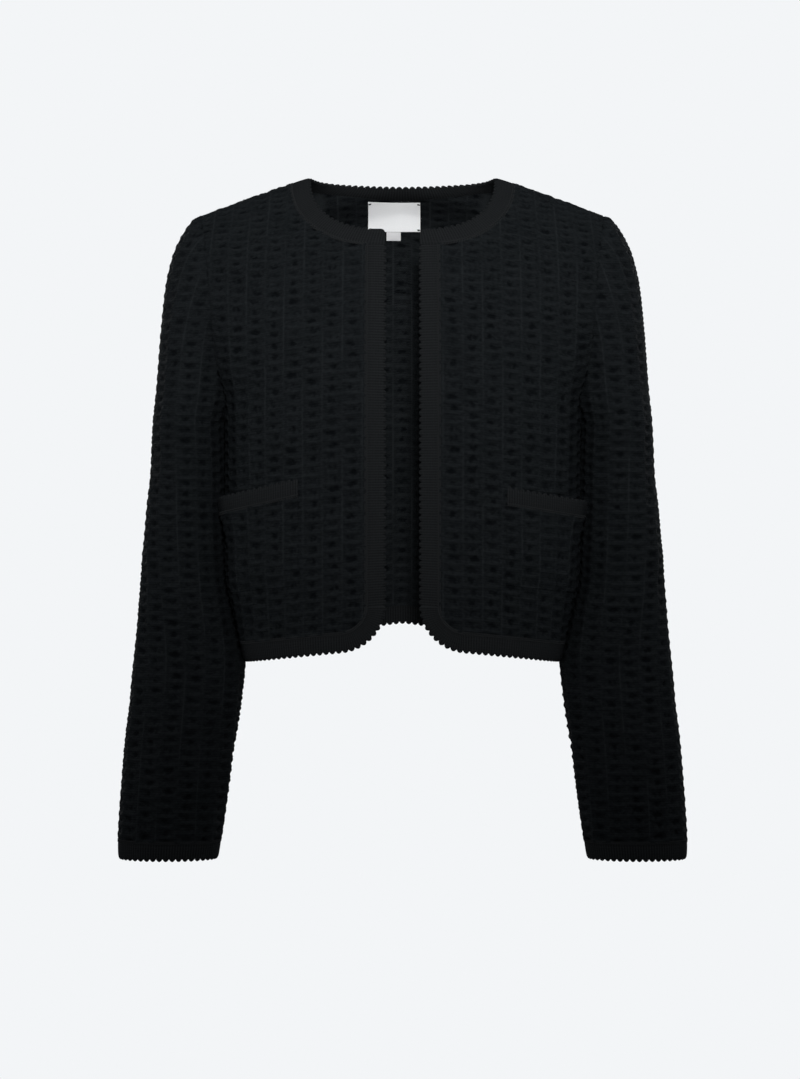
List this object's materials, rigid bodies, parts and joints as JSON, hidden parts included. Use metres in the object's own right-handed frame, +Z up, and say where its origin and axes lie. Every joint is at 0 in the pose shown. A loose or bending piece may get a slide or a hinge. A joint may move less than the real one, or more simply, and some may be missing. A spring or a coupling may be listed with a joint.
{
  "type": "knit jacket",
  "caption": "Cropped open-front round-neck knit jacket with long sleeves, patch pockets and ribbed picot bands, in the hollow form of a wearer.",
  "frame": {"origin": "midway between the two neck ends of the shoulder seams, where the worn jacket is carried; the jacket lies below, in front of and behind it", "axes": "+X to the wearer's left, -Y to the front, +Z up"},
  "size_m": [0.5384, 0.2078, 0.648],
  "materials": {
    "ladder_knit": "near-black wool-blend ladder knit, matt with a faint cool sheen",
    "ribbed_band": "near-black fine-ribbed knit, smooth and matt",
    "label": "white woven satin tape, bare",
    "care_tab": "white woven tape, bare"
  },
  "bodies": {
    "root": {"back": "ladder_knit", "back_hem_band": "ribbed_band", "care_tab": "care_tab", "cuff_band_left": "ribbed_band", "cuff_band_right": "ribbed_band", "front_band_left": "ribbed_band", "front_band_right": "ribbed_band", "front_left": "ladder_knit", "front_right": "ladder_knit", "label": "label", "neck_band": "ribbed_band", "pocket_band_left": "ribbed_band", "pocket_band_right": "ribbed_band", "pocket_left": "ladder_knit", "pocket_right": "ladder_knit", "sleeve_left": "ladder_knit", "sleeve_right": "ladder_knit"}
  },
  "joints": []
}
